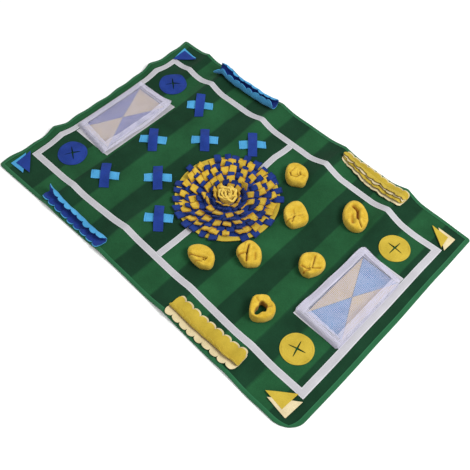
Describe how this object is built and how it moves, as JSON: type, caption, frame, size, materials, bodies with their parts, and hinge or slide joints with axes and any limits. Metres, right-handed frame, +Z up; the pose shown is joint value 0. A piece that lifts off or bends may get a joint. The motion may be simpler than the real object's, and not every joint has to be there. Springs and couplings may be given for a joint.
{
  "type": "snuffle mat",
  "caption": "Green cloth snuffle mat laid out as a football pitch, with a blue and yellow tab rosette, puffs, crossed strips, slit discs, frills and net pockets.",
  "frame": {"origin": "middle of the whole mat's box, on the floor it lies on", "axes": "+X along the mat's length towards the yellow end, +Y across it towards the far side, +Z up"},
  "size_m": [1.015, 0.6958, 0.0467],
  "materials": {
    "pitch_cloth": "matt",
    "binding_tape": "matt",
    "white_tape": "matt",
    "blue_felt": "matt",
    "light_blue_felt": "matt",
    "yellow_fleece": "matt",
    "cream_felt": "matt",
    "white_net": "matt"
  },
  "bodies": {
    "root": {"mat": "pitch_cloth", "binding": "binding_tape", "touchline": "white_tape", "halfway_line": "white_tape", "goal_area_blue": "white_tape", "goal_area_yellow": "white_tape", "goal_felt_blue_far": "cream_felt", "goal_felt_blue_right": "blue_felt", "goal_felt_blue_near": "cream_felt", "goal_felt_blue_left": "blue_felt", "goal_net_blue": "white_net", "goal_felt_yellow_far": "light_blue_felt", "goal_felt_yellow_right": "cream_felt", "goal_felt_yellow_near": "light_blue_felt", "goal_felt_yellow_left": "cream_felt", "goal_net_yellow": "white_net", "rosette_base": "yellow_fleece", "rosette_tabs": "blue_felt", "rosette_heart": "yellow_fleece", "cross_1_under": "light_blue_felt", "cross_1_over": "blue_felt", "cross_2_under": "light_blue_felt", "cross_2_over": "blue_felt", "cross_3_under": "light_blue_felt", "cross_3_over": "blue_felt", "cross_4_under": "light_blue_felt", "cross_4_over": "blue_felt", "cross_5_under": "light_blue_felt", "cross_5_over": "blue_felt", "cross_6_under": "light_blue_felt", "cross_6_over": "blue_felt", "cross_7_under": "light_blue_felt", "cross_7_over": "blue_felt", "puff_1": "yellow_fleece", "puff_2": "yellow_fleece", "puff_3": "yellow_fleece", "puff_4": "yellow_fleece", "puff_5": "yellow_fleece", "puff_6": "yellow_fleece", "puff_7": "yellow_fleece", "slit_disc_blue_1": "blue_felt", "slit_disc_blue_2": "blue_felt", "slit_disc_yellow_1": "yellow_fleece", "slit_disc_yellow_2": "yellow_fleece", "frill_far_blue_under": "light_blue_felt", "frill_far_blue_over": "blue_felt", "frill_near_blue_under": "light_blue_felt", "frill_near_blue_over": "blue_felt", "frill_far_yellow_under": "cream_felt", "frill_far_yellow_over": "yellow_fleece", "frill_near_yellow_under": "cream_felt", "frill_near_yellow_over": "yellow_fleece", "flag_far_blue_under": "light_blue_felt", "flag_far_blue_over": "blue_felt", "flag_near_blue_under": "light_blue_felt", "flag_near_blue_over": "blue_felt", "flag_far_yellow_under": "cream_felt", "flag_far_yellow_over": "yellow_fleece", "flag_near_yellow_under": "cream_felt", "flag_near_yellow_over": "yellow_fleece"}
  },
  "joints": []
}
